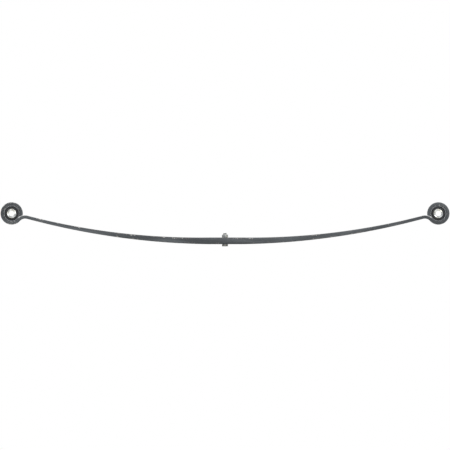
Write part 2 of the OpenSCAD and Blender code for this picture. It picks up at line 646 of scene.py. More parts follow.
@dataclass
class Ring:
    """One closed loop of a ringed surface.

    Args:
        points: the loop's points, one row each.
        flow: where each point lies along, across and through its piece, for its finish.
        wear: how far each point is rubbed, from 0 to 1.
    """

    points: np.ndarray
    flow: np.ndarray
    wear: np.ndarray


def ringed_object(
    name: str, rings: list[Ring], joined: bool, crease_deg: float
) -> bpy.types.Object:
    """Lay a closed surface through rings of points.

    Args:
        name: the piece's name.
        rings: loops with the same number of points.
        joined: whether the last ring runs on into the first. If not, both ends are capped.
        crease_deg: edges that turn more than this are sharp.

    Returns:
        The new object, shaded smooth between its creases.
    """
    count = len(rings[0].points)
    points = np.concatenate([ring.points for ring in rings])
    spans = len(rings) if joined else len(rings) - 1
    faces: list[tuple[int, ...]] = []
    for i in range(spans):
        here, there = i * count, (i + 1) % len(rings) * count
        for j in range(count):
            k = (j + 1) % count
            faces.append((here + j, here + k, there + k, there + j))
    if not joined:
        faces.append(tuple(range(count)))
        faces.append(tuple(range((len(rings) - 1) * count, len(rings) * count)))
    mesh = bpy.data.meshes.new(name)
    mesh.from_pydata(points.tolist(), [], faces)
    flow = mesh.attributes.new(FLOW, "FLOAT_VECTOR", "POINT")
    flow.data.foreach_set("vector", np.concatenate([r.flow for r in rings]).ravel())
    wear = mesh.attributes.new(WEAR, "FLOAT", "POINT")
    wear.data.foreach_set("value", np.concatenate([r.wear for r in rings]))
    piece = bpy.data.objects.new(name, mesh)
    bpy.context.scene.collection.objects.link(piece)
    smooth(piece, crease_deg)
    return piece


def smooth(piece: bpy.types.Object, crease_deg: float) -> None:
    """Point a closed mesh's faces outwards, and shade it smooth except at its creases.

    Args:
        piece: the mesh object.
        crease_deg: edges that turn more than this are sharp.
    """
    work = bmesh.new()
    work.from_mesh(piece.data)
    bmesh.ops.recalc_face_normals(work, faces=work.faces[:])
    for face in work.faces:
        face.smooth = True
    for edge in work.edges:
        edge.smooth = edge.calc_face_angle(0.0) < math.radians(crease_deg)
    work.to_mesh(piece.data)
    work.free()


def cut(piece: bpy.types.Object, cutter: bpy.types.Object) -> None:
    """Take the cutter's shape out of a piece, and remove the cutter.

    Args:
        piece: the mesh object that is cut.
        cutter: the mesh object that cuts it.
    """
    modifier = piece.modifiers.new("cut", "BOOLEAN")
    modifier.object = cutter
    modifier.operation = "DIFFERENCE"
    modifier.solver = "EXACT"
    evaluated = piece.evaluated_get(bpy.context.evaluated_depsgraph_get())
    mesh = bpy.data.meshes.new_from_object(evaluated)
    piece.modifiers.clear()
    piece.data = mesh
    bpy.data.objects.remove(cutter)


def dress(piece: bpy.types.Object, material: bpy.types.Material) -> None:
    """Give a piece its material.

    Args:
        piece: the mesh object.
        material: the finish that all of it takes.
    """
    piece.data.materials.clear()
    piece.data.materials.append(material)


# --------------------------------------------------------------------------------------
# The leaf
# --------------------------------------------------------------------------------------


@dataclass(frozen=True)
class Arc:
    """A stretch of the strip's middle line that bends about one centre.

    Args:
        centre: the centre, as x and height.
        radius: distance from the centre to the middle line.
        start: direction of its first point from the centre, in radians.
        sweep: how far it turns, in radians, positive anticlockwise.
        inward: whether the strip's upper surface faces the centre.
    """

    centre: Vector
    radius: float
    start: float
    sweep: float
    inward: bool

    @property
    def length(self) -> float:
        """Length of the stretch along the middle line."""
        return self.radius * abs(self.sweep)

    def at(self, share: float) -> tuple[Vector, Vector]:
        """Find a place on the arc.

        Args:
            share: how far along the arc, from 0 to 1.

        Returns:
            The point there, and the unit vector from it towards the upper surface.
        """
        angle = self.start + share * self.sweep
        out = Vector((math.cos(angle), math.sin(angle)))
        return self.centre + self.radius * out, -out if self.inward else out


@dataclass(frozen=True)
class Station:
    """One cross-section of the strip.

    Args:
        point: its middle, as x and height.
        up: unit vector towards the upper surface.
        over: thickness above the middle line.
        under: thickness below it.
        inset: how far its outline is drawn in, where the strip's end is rounded.
        along: distance from the middle of the leaf, along the strip.
        wear: how far the strip is rubbed there.
    """

    point: Vector
    up: Vector
    over: float
    under: float
    inset: float
    along: float
    wear: float


@dataclass(frozen=True)
class LeafHalf:
    """Half of the leaf, from the middle of the seat to the scarfed end of its eye.

    Args:
        half: which half it is.
        eye_x: distance from the centre bolt to the eye centre.
        camber: height of the eye centre above the middle of the seat's thickness.
        bore_r: radius of the eye's bore.
        tip_t: thickness of the neck and the eye's wall.
        seat_t: thickness at the seat.
        width: width of the leaf.
        seat_half: half the length of the flat seat.
        neck_r: radius of the reverse bend, at mid-thickness.
        eye_drop: distance of the eye centre below the line of the arm.
        roll_gap: gap between the rolled end and the neck.
        end_cut: angle at which the rolled end's thin corner is cut off.
        taper_power: how the arm thins, 1 being a straight wedge.
        hole_r: radius of the centre bolt's hole.
    """

    half: Half
    eye_x: float
    camber: float
    bore_r: float
    tip_t: float
    seat_t: float
    width: float
    seat_half: float = 45 * MM
    neck_r: float = 24 * MM
    eye_drop: float = 1.2 * MM
    roll_gap: float = 0.8 * MM
    end_cut: float = math.radians(20)
    taper_power: float = 1.35
    hole_r: float = 5.25 * MM
    # The rolled bar's edge is a flattened round: this deep, as a share of the thickness
    edge_share: float = 0.2
    edge_power: float = 2.4
    edge_points: int = 13
    flat_points: int = 12
    # Waves that the rolls leave in the surface: too shallow to see except in its shine
    wave_depth: float = 0.05 * MM
    wave_length: float = 70 * MM
    # Rounding of the strip's cut end
    nose: float = 0.5 * MM
    # How softly the scarf starts
    scarf_soft: float = 0.35 * MM
    # How far short of its eye the arm stops bending
    eye_clear: float = 20 * MM
    # Cross-sections of the seat, bow, neck and roll, and of the roll's closely divided end
    seat_cuts: int = 12
    bow_cuts: int = 112
    neck_cuts: int = 26
    roll_cuts: int = 110
    end_cuts: int = 72
    end_long: float = 20 * MM
    # How far the seat, the neck and the rolled end are rubbed, the end from this far back
    seat_wear: float = 0.7
    neck_wear: float = 0.8
    end_wear: float = 1.0
    end_rubbed: float = 14 * MM
    # Share of it that reaches the flats and the middle of an edge, and how it gathers between
    flat_rub: float = 0.08
    edge_rub: float = 0.12
    rub_power: float = 1.5
    hole_sides: int = 64
    crease_deg: float = 40.0

    @property
    def roll_r(self) -> float:
        """Radius of the eye at mid-thickness."""
        return self.bore_r + self.tip_t / 2

    def arcs(self) -> tuple[Arc, Arc, Arc]:
        """Work out the three bends of the middle line.

        Returns:
            The arm's long bow, the neck's reverse bend and the roll of the eye.
        """
        reach = self.eye_x - self.seat_half
        bow = (reach**2 + self.camber**2 - self.eye_drop**2) / (2 * (self.camber + self.eye_drop))
        bow_at = Vector((self.seat_half, bow))
        eye = Vector((self.eye_x, self.camber))
        apart, to_bow, to_eye = bow + self.eye_drop, bow + self.neck_r, self.roll_r + self.neck_r
        along = (apart**2 + to_bow**2 - to_eye**2) / (2 * apart)
        aside = math.sqrt(to_bow**2 - along**2)
        unit = (eye - bow_at) / apart
        neck = bow_at + along * unit + aside * Vector((unit.y, -unit.x))
        towards_bow = math.atan2(bow_at.y - neck.y, bow_at.x - neck.x)
        towards_eye = math.atan2(eye.y - neck.y, eye.x - neck.x)
        return (
            Arc(bow_at, bow, -math.pi / 2, towards_bow - math.pi / 2, True),
            Arc(neck, self.neck_r, towards_bow, towards_eye - towards_bow, False),
            Arc(eye, self.roll_r, towards_eye + math.pi, TAU - self.end_cut, True),
        )

    def scarf_r(self, angle: float) -> float:
        """Distance from the eye centre to the scarf.

        Args:
            angle: how far the direction is from that of the neck's centre, in radians.

        Returns:
            The distance, or infinity where the scarf isn't met.
        """
        span = self.roll_r + self.neck_r
        scarf = self.neck_r + self.tip_t / 2 + self.roll_gap
        under_root = scarf**2 - (span * math.sin(angle)) ** 2
        if under_root < 0 or angle > math.pi / 2:
            return math.inf
        return span * math.cos(angle) - math.sqrt(under_root)

    def stations(self) -> list[Station]:
        """Work out every cross-section.

        Returns:
            The stations, from the middle of the seat to the rolled end.
        """
        bow, neck, roll = self.arcs()
        full, thin = self.seat_t / 2, self.tip_t / 2
        found: list[Station] = []
        for x in np.linspace(0, self.seat_half, self.seat_cuts)[:-1]:
            point, up = Vector((x, 0.0)), Vector((0.0, 1.0))
            found.append(Station(point, up, full, full, 0.0, float(x), self.seat_wear))
        for share in np.linspace(0, 1, self.bow_cuts)[:-1]:
            point, up = bow.at(float(share))
            half_t = thin + (full - thin) * (1 - share) ** self.taper_power
            along = self.seat_half + float(share) * bow.length
            wear = self.seat_wear + (self.neck_wear - self.seat_wear) * share
            found.append(Station(point, up, half_t, half_t, 0.0, along, wear))
        start = self.seat_half + bow.length
        for share in np.linspace(0, 1, self.neck_cuts)[:-1]:
            point, up = neck.at(float(share))
            along = start + float(share) * neck.length
            found.append(Station(point, up, thin, thin, 0.0, along, self.neck_wear))
        start += neck.length
        body = np.linspace(0, 1 - self.end_long / roll.length, self.roll_cuts)[:-1]
        end = 1 - np.linspace(self.end_long, 0, self.end_cuts) / roll.length
        for share in np.concatenate([body, end]):
            found.append(self.roll_station(roll, float(share), start))
        return found

    def roll_station(self, roll: Arc, share: float, start: float) -> Station:
        """Work out one cross-section of the eye.

        Args:
            roll: the bend that the eye follows.
            share: how far along the roll.
            start: distance along the strip to where the roll begins.

        Returns:
            The station, thinned where the end is scarfed to lie along the neck.
        """
        point, up = roll.at(share)
        thin = self.tip_t / 2
        left = (1 - share) * roll.length
        scarf = self.scarf_r(TAU - share * roll.sweep) - self.roll_r
        soft = self.scarf_soft
        under = thin if scarf > thin + soft else soft_min(thin, scarf, soft)
        inset = 0.0
        if left < self.nose:
            inset = self.nose - math.sqrt(max(self.nose**2 - (self.nose - left) ** 2, 0.0))
        near = max(0.0, 1 - left / self.end_rubbed)
        wear = self.neck_wear + (self.end_wear - self.neck_wear) * near
        return Station(point, up, thin, under, inset, start + share * roll.length, wear)

    def ring(self, station: Station) -> Ring:
        """Lay out one cross-section's outline.

        Args:
            station: where and how thick it is.

        Returns:
            The outline, anticlockwise, with rounded edges.
        """
        thick = station.over + station.under - 2 * station.inset
        middle = (station.over - station.under) / 2
        wide = self.width / 2 - station.inset
        deep = self.edge_share * thick
        power = 2 / self.edge_power
        turn = np.linspace(-math.pi / 2, math.pi / 2, self.edge_points)
        across_edge = wide - deep + deep * np.abs(np.cos(turn)) ** power
        height_edge = thick / 2 * np.sign(np.sin(turn)) * np.abs(np.sin(turn)) ** power
        flat = np.linspace(wide - deep, deep - wide, self.flat_points)[1:-1]
        across = np.concatenate([across_edge, flat, -across_edge[::-1], -flat])
        top = np.full(len(flat), thick / 2)
        height = np.concatenate([height_edge, top, height_edge[::-1], -top]) + middle
        gathered = np.abs(np.sin(2 * turn)) ** self.rub_power
        rub_edge = self.edge_rub + (1 - self.edge_rub) * gathered
        still = np.full(len(flat), self.flat_rub)
        rub = np.concatenate([rub_edge, still, rub_edge[::-1], still]) * station.wear
        x = self.half.value * (station.point.x + station.up.x * height)
        z = self.seat_t / 2 + station.point.y + station.up.y * height
        points = np.column_stack([x, across, z])
        flow = np.column_stack(
            [np.full(len(across), self.half.value * station.along), across, height]
        )
        return Ring(points, flow, rub)

    def build(self) -> bpy.types.Object:
        """Build the half leaf, closed, with its half of the bolt hole.

        Returns:
            The new object.
        """
        rings = [self.ring(station) for station in self.stations()]
        self.ripple(rings)
        piece = ringed_object(f"leaf_{self.half.label}_half", rings, False, self.crease_deg)
        cut(piece, self.drill())
        smooth(piece, self.crease_deg)
        return piece

    def ripple(self, rings: list[Ring]) -> None:
        """Sink the surface a little in slow waves, as rolling leaves it.

        Args:
            rings: the outlines, changed in place.
        """
        for ring in rings:
            centre = ring.points.mean(axis=0)
            for i, point in enumerate(ring.points):
                place = Vector(ring.flow[i]) / self.wave_length
                sunk = self.wave_depth * (0.5 + 0.5 * noise.noise(place))
                inward = centre - point
                inward[1] = 0.0
                size = np.linalg.norm(inward)
                if size > self.wave_depth:
                    ring.points[i] = point + inward / size * sunk

    def drill(self) -> bpy.types.Object:
        """Build the cutter for the centre bolt's hole.

        Returns:
            A cylinder that stands through the seat.
        """
        bpy.ops.mesh.primitive_cylinder_add(
            vertices=self.hole_sides,
            radius=self.hole_r,
            depth=2 * self.seat_t,
            location=(0, 0, self.seat_t / 2),
        )
        return bpy.context.object

    def place(self, piece: bpy.types.Object) -> None:
        """Fix the half where it lies, and let it stand for the CAD leaf.

        Args:
            piece: the finished half.
        """
        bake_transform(piece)
        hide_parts("main_leaf")


def soft_min(a: float, b: float, soft: float) -> float:
    """The lesser of two lengths, rounded where they cross.

    Args:
        a: one length.
        b: the other.
        soft: size of the rounding.

    Returns:
        The rounded lesser length.
    """
    mix = min(max(0.5 + 0.5 * (b - a) / soft, 0.0), 1.0)
    return b * (1 - mix) + a * mix - soft * mix * (1 - mix) / 2


# --------------------------------------------------------------------------------------
# Turned pieces
# --------------------------------------------------------------------------------------


@dataclass(frozen=True)
class ProfilePoint:
    """A point of a turned piece's outline.

    Args:
        r: distance from the axis.
        h: height along the axis.
        wear: how far it is rubbed.
    """

    r: float
    h: float
    wear: float = 0.0


def rounded(corners: list[ProfilePoint], radius: float, steps: int = 4) -> list[ProfilePoint]:
    """Round the corners of an outline.

    Args:
        corners: the outline's corners; the first and last stay where they are.
        radius: how far from its corner each rounding starts.
        steps: facets to a corner.

    Returns:
        The rounded outline, its corners marked as rubbed.
    """
    made = [corners[0]]
    for before, corner, after in zip(corners, corners[1:], corners[2:]):
        here = Vector((corner.r, corner.h))
        back, on = Vector((before.r, before.h)) - here, Vector((after.r, after.h)) - here
        size = min(radius, CORNER_SHARE * back.length, CORNER_SHARE * on.length)
        first, last = here + back.normalized() * size, here + on.normalized() * size
        for i in range(steps + 1):
            t = i / steps
            p = (1 - t) ** 2 * first + 2 * t * (1 - t) * here + t**2 * last
            made.append(ProfilePoint(p.x, p.y, max(corner.wear, CORNER_WEAR)))
    made.append(corners[-1])
    return made


def divided(outline: list[ProfilePoint], longest: float) -> list[ProfilePoint]:
    """Split an outline's long stretches.

    Args:
        outline: the points.
        longest: the most that two neighbours may be apart.

    Returns:
        The outline with points added.
    """
    made = [outline[0]]
    for a, b in zip(outline, outline[1:]):
        parts = max(1, math.ceil(math.hypot(b.r - a.r, b.h - a.h) / longest))
        for i in range(1, parts + 1):
            t = i / parts
            wear = a.wear * (1 - t) + b.wear * t
            made.append(ProfilePoint(a.r + (b.r - a.r) * t, a.h + (b.h - a.h) * t, wear))
    return made


def mirrored(end: list[ProfilePoint]) -> list[ProfilePoint]:
    """The same points at the piece's other end, in the order that goes on from these."""
    return [ProfilePoint(p.r, -p.h, p.wear) for p in reversed(end)]


class Axis(Enum):
    """Which way a turned piece's axis points in the spring."""

    UP = "up"
    ACROSS = "across"

    def point(self, centre: Vector, r: np.ndarray, h: np.ndarray, turn: np.ndarray) -> np.ndarray:
        """Place points given about the axis.

        Args:
            centre: a point on the axis, from which h is measured.
            r: distances from the axis.
            h: heights along it.
            turn: angles round it, in radians.

        Returns:
            The points, one row each.
        """
        a, b = r * np.cos(turn), r * np.sin(turn)
        local = [a, b, h] if self is Axis.UP else [a, -h, b]
        return np.column_stack(local) + np.array(centre)


@dataclass(frozen=True)
class TurnedPiece(ABC):
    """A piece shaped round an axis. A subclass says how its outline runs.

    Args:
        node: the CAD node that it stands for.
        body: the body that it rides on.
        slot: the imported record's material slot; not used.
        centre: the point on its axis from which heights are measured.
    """

    node: str
    body: str
    slot: str
    centre: Vector

    axis = Axis.ACROSS
    around = 128
    joined = True
    crease_deg = 35.0

    @abstractmethod
    def outline(self) -> list[ProfilePoint]:
        """Work out the outline.

        Returns:
            Its points, in order.
        """

    def shape(self, point: ProfilePoint, turn: np.ndarray) -> tuple[np.ndarray, np.ndarray]:
        """Turn one outline point into a ring. A subclass adds threads, flats or teeth here.

        Args:
            point: the point.
            turn: angles round the axis.

        Returns:
            The ring's distances from the axis and its heights.
        """
        return np.full(len(turn), point.r), np.full(len(turn), point.h)

    def build(self) -> bpy.types.Object:
        """Build the piece.

        Returns:
            The new object, closed.
        """
        turn = np.arange(self.around) * TAU / self.around
        rings, along, last = [], 0.0, None
        for point in self.outline():
            if last is not None:
                along += math.hypot(point.r - last.r, point.h - last.h)
            last = point
            r, h = self.shape(point, turn)
            points = self.axis.point(self.centre, r, h, turn)
            flow = np.column_stack([np.full(len(turn), along), turn * point.r, r])
            rings.append(Ring(points, flow, np.full(len(turn), point.wear)))
        return ringed_object(f"{self.node}_finished", rings, self.joined, self.crease_deg)

    def place(self, piece: bpy.types.Object) -> None:
        """Set the piece on its body in place of the CAD node.

        Args:
            piece: the finished object.
        """
        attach(piece, self.body)
        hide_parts(self.node)


@dataclass(frozen=True)
class CentreBolt(TurnedPiece):
    """The M10 centre bolt: round locating head below, rolled thread above.

    Heights are measured from the seat's underside.
    """

    head_r: float = 8.5 * MM
    head_h: float = 6.0 * MM
    chamfer: float = 0.8 * MM
    top: float = 31.6 * MM
    thread_r: float = 5.0 * MM
    pitch: float = 1.5 * MM
    thread_from: float = 14.0 * MM
    end_chamfer: float = 1.2 * MM
    # Half the thread's root, its flank and its depth, as shares of the pitch
    root_half: float = 1 / 16
    flank_wide: float = 5 / 16
    thread_deep: float = 0.6134
    # Rings of points to a turn of the thread
    thread_cuts: int = 16
    # Turned centre mark in the head's face
    pip_r: float = 1.6 * MM
    pip_deep: float = 0.8 * MM
    # Rounding of the head's corners, and the longest stretch of its outline left whole
    edge_r: float = 0.25 * MM
    facet: float = 0.6 * MM
    # How far above the head the shank starts, and how far inside its edge the end is flat
    shank_from: float = 0.3 * MM
    end_edge: float = 0.4 * MM

    axis = Axis.UP
    around = 120
    joined = False

    def outline(self) -> list[ProfilePoint]:
        """Work out the outline.

        Returns:
            Its points, from the middle of the head's face up to the middle of the end.
        """
        floor = -self.head_h
        head = rounded(
            [
                ProfilePoint(AXIS_R, floor + self.pip_deep),
                ProfilePoint(self.pip_r, floor),
                ProfilePoint(self.head_r - self.chamfer, floor, 0.9),
                ProfilePoint(self.head_r, floor + self.chamfer, 0.9),
                ProfilePoint(self.head_r, 0.0),
                ProfilePoint(self.thread_r, 0.0),
            ],
            self.edge_r,
        )
        shank = [
            ProfilePoint(self.thread_r, self.shank_from),
            ProfilePoint(self.thread_r, self.thread_from),
        ]
        rings = round((self.top - self.thread_from) / self.pitch * self.thread_cuts)
        thread = [
            ProfilePoint(self.thread_r, float(h), 0.3)
            for h in np.linspace(self.thread_from, self.top, rings)[1:]
        ]
        end_r = self.thread_r - self.end_chamfer
        face = [ProfilePoint(end_r - self.end_edge, self.top), ProfilePoint(AXIS_R, self.top)]
        return divided(head, self.facet) + shank + thread + face

    def shape(self, point: ProfilePoint, turn: np.ndarray) -> tuple[np.ndarray, np.ndarray]:
        """Sink the thread into the shank and chamfer its end.

        Args:
            point: the point.
            turn: angles round the axis.

        Returns:
            The ring's distances from the axis and its heights.
        """
        r, h = super().shape(point, turn)
        if point.r < self.thread_r or point.h <= self.thread_from:
            return r, h
        phase = (point.h / self.pitch - turn / TAU) % 1.0
        flank = np.clip((np.abs(phase - 0.5) - self.root_half) / self.flank_wide, 0.0, 1.0)
        depth = self.thread_deep * self.pitch * (1 - flank)
        run_in = min(1.0, (point.h - self.thread_from) / self.pitch)
        cone = self.thread_r - self.end_chamfer + (self.top - point.h)
        return np.minimum(r - depth * run_in, cone), h


@dataclass(frozen=True)
class CentreNut(TurnedPiece):
    """The M10 hexagon nut, cold-formed, both faces chamfered. Heights are from the seat's top."""

    flats_r: float = 8.5 * MM
    high: float = 8.0 * MM
    bore_r: float = 5.03 * MM
    chamfer_slope: float = math.tan(math.radians(30))
    sink: float = 0.8 * MM
    # How far inside the flats the end faces' chamfers start, and how far the flat face ends
    chamfer_in: float = 0.15 * MM
    face_in: float = 0.5 * MM
    # What forming leaves off the corners
    corner_off: float = 0.12 * MM
    # Rounding of the faces' corners, and the longest stretch of them left whole
    edge_r: float = 0.15 * MM
    facet: float = 0.8 * MM

    axis = Axis.UP
    around = 240

    @property
    def face_r(self) -> float:
        """Radius at which the end faces' chamfers start."""
        return self.flats_r - self.chamfer_in

    @property
    def corner_r(self) -> float:
        """Radius over the corners, which forming leaves slightly round."""
        return self.flats_r / math.cos(math.radians(30)) - self.corner_off

    def rise(self, radius: Any) -> Any:
        """How high the chamfer has climbed at a radius, or at an array of them."""
        return (radius - self.face_r) * self.chamfer_slope

    def outline(self) -> list[ProfilePoint]:
        """Work out the outline.

        Returns:
            Its points, up the outside and down the bore.
        """
        rise = self.rise(self.corner_r)
        outside = [ProfilePoint(self.corner_r, float(h), 0.7) for h in np.linspace(0, rise, 4)]
        outside += [
            ProfilePoint(self.corner_r, float(h), 0.3)
            for h in np.linspace(rise, self.high - rise, 8)[1:-1]
        ]
        outside += [ProfilePoint(self.corner_r, self.high - p.h, 0.7) for p in outside[3::-1]]
        faces = rounded(
            [
                ProfilePoint(self.flats_r - self.face_in, self.high, 0.4),
                ProfilePoint(self.bore_r + self.sink, self.high, 0.8),
                ProfilePoint(self.bore_r, self.high - self.sink, 0.6),
                ProfilePoint(self.bore_r, self.sink, 0.2),
                ProfilePoint(self.bore_r + self.sink, 0.0, 0.2),
                ProfilePoint(self.flats_r - self.face_in, 0.0, 0.2),
            ],
            self.edge_r,
        )
        return outside + divided(faces, self.facet)

    def shape(self, point: ProfilePoint, turn: np.ndarray) -> tuple[np.ndarray, np.ndarray]:
        """Press the outside into a hexagon and cone off its corners.

        Args:
            point: the point.
            turn: angles round the axis.

        Returns:
            The ring's distances from the axis and its heights.
        """
        r, h = super().shape(point, turn)
        if point.r < self.flats_r:
            return r, h
        sixth = math.pi / 3
        off = (turn + sixth / 2) % sixth - sixth / 2
        hexagon = np.minimum(self.flats_r / np.cos(off), self.corner_r)
        full, rise = self.rise(self.corner_r), self.rise(hexagon)
        inner = min(point.h, self.high - point.h)
        if inner <= full:
            share = inner / full
            height = share * rise
            r = self.face_r + share * (hexagon - self.face_r)
            return r, height if point.h < self.high / 2 else self.high - height
        share = (point.h - full) / (self.high - 2 * full)
        return hexagon, rise + share * (self.high - 2 * rise)


@dataclass(frozen=True)
class OuterSleeve(TurnedPiece):
    """The bush's outer shell, pressed into the eye. Heights are from the leaf's middle."""

    outer_r: float
    half_long: float
    wall: float = 2.0 * MM
    chamfer: float = 0.8 * MM
    # Rounding of the corners, and the longest stretch of the outline left whole
    edge_r: float = 0.2 * MM
    facet: float = 6 * MM

    def outline(self) -> list[ProfilePoint]:
        """Work out the outline.

        Returns:
            Its points, along the outside and back along the inside.
        """
        end = [
            ProfilePoint(self.outer_r, self.half_long - self.chamfer, 0.7),
            ProfilePoint(self.outer_r - self.chamfer, self.half_long, 0.9),
            ProfilePoint(self.outer_r - self.wall, self.half_long, 0.7),
        ]
        first, last = ProfilePoint(self.outer_r, 0.0), ProfilePoint(self.outer_r, -LOOP_GAP)
        corners = [first, *end, *mirrored(end), last]
        return divided(rounded(corners, self.edge_r), self.facet)


@dataclass(frozen=True)
class BushRubber(TurnedPiece):
    """The rubber between the sleeves, hollowed at both ends. Heights are from the middle."""

    inner_r: float
    outer_r: float
    half_long: float
    # Depth of the hollow, width of the lip at each sleeve, and how steeply they run
    dish: float = 3.0 * MM
    dish_power: float = 0.8
    lip: float = 0.9 * MM
    lip_power: float = 1.5
    # The raised line where the mould's halves met: its place from the inner sleeve to the
    # outer one, and its size
    line_at: float = 0.62
    line_size: float = 0.22 * MM
    # Nibs that the mould's vents leave in the hollow
    nibs: int = 6
    nib_at: float = 0.36
    nib_r: float = 0.55 * MM
    nib_high: float = 0.5 * MM
    # How far the lips and the hollow are rubbed
    lip_wear: float = 0.8
    hollow_wear: float = 0.1
    steps: int = 26

    around = 192

    def end(self) -> list[ProfilePoint]:
        """Work out one end, from the inner sleeve to the outer one.

        Returns:
            The end's points: a lip at each sleeve and the hollow between, with the thin
            raised line where the mould's halves met.
        """
        wide = self.outer_r - self.inner_r
        made = []
        for i in range(self.steps + 1):
            u = i / self.steps
            near = min(u, 1 - u) * wide
            hollow = self.dish * math.sin(math.pi * u) ** self.dish_power
            if near < self.lip:
                hollow *= (near / self.lip) ** self.lip_power
            off = (u - self.line_at) * wide / self.line_size
            height = self.half_long - hollow + self.line_size * math.exp(-(off**2))
            wear = self.lip_wear if near < self.lip else self.hollow_wear
            made.append(ProfilePoint(self.inner_r + u * wide, height, wear))
        return made

    def outline(self) -> list[ProfilePoint]:
        """Work out the outline.

        Returns:
            Its points, out over one end and back over the other.
        """
        end = self.end()
        outer, inner = ProfilePoint(self.outer_r, 0.0), ProfilePoint(self.inner_r, 0.0)
        return [*end, outer, *mirrored(end), inner]

    def shape(self, point: ProfilePoint, turn: np.ndarray) -> tuple[np.ndarray, np.ndarray]:
        """Raise the vent nibs in the hollow.

        Args:
            point: the point.
            turn: angles round the axis.

        Returns:
            The ring's distances from the axis and its heights.
        """
        r, h = super().shape(point, turn)
        if abs(point.h) < self.half_long / 2:
            return r, h
        pitch = TAU / self.nibs
        off = ((turn + pitch / 2) % pitch - pitch / 2) * point.r
        radial = point.r - (self.inner_r + self.nib_at * (self.outer_r - self.inner_r))
        away = np.sqrt(off**2 + radial**2) / self.nib_r
        raised = self.nib_high * np.exp(-(away**4))
        return r, h + math.copysign(1.0, point.h) * raised


@dataclass(frozen=True)
class InnerSleeve(TurnedPiece):
    """The bush's inner tube, its ends serrated to grip the bracket.

    Heights are from the leaf's middle.
    """

    bore_r: float
    outer_r: float
    half_long: float
    chamfer: float = 0.8 * MM
    bore_chamfer: float = 0.5 * MM
    teeth: int = 32
    tooth_deep: float = 0.45 * MM
    # Rounding of the corners, and the longest stretch of the outline left whole
    edge_r: float = 0.15 * MM
    facet: float = 4 * MM

    around = 256

    def outline(self) -> list[ProfilePoint]:
        """Work out the outline.

        Returns:
            Its points, along the outside and back down the bore.
        """
        end = [
            ProfilePoint(self.outer_r, self.half_long - self.chamfer, 0.7),
            ProfilePoint(self.outer_r - self.chamfer, self.half_long, 0.9),
            ProfilePoint(self.bore_r + self.bore_chamfer, self.half_long, 0.9),
            ProfilePoint(self.bore_r, self.half_long - self.bore_chamfer, 0.6),
        ]
        first, last = ProfilePoint(self.outer_r, 0.0), ProfilePoint(self.outer_r, -LOOP_GAP)
        corners = [first, *end, *mirrored(end), last]
        return divided(rounded(corners, self.edge_r), self.facet)

    def shape(self, point: ProfilePoint, turn: np.ndarray) -> tuple[np.ndarray, np.ndarray]:
        """Cut the serrations into the end faces.

        Args:
            point: the point.
            turn: angles round the axis.

        Returns:
            The ring's distances from the axis and its heights.
        """
        r, h = super().shape(point, turn)
        past = abs(point.h) - (self.half_long - self.chamfer)
        if past <= 0:
            return r, h
        phase = (turn / TAU * self.teeth) % 1.0
        groove = 1 - np.abs(2 * phase - 1)
        sunk = self.tooth_deep * groove * min(1.0, past / self.chamfer)
        return r, h - math.copysign(1.0, point.h) * sunk


# --------------------------------------------------------------------------------------
# The spring and its studio
# --------------------------------------------------------------------------------------


@dataclass(frozen=True)
class Finishes:
    """The built materials, one for each kind of surface."""

    paint: bpy.types.Material
    zinc: bpy.types.Material
    tube: bpy.types.Material
    rubber: bpy.types.Material

    @classmethod
    def make(cls) -> Finishes:
        """Build every material of the spring."""
        return cls(
            GraphitePaint().make(),
            ZincPlate().make(),
            PhosphatedTube().make(),
            MouldedRubber().make(),
        )


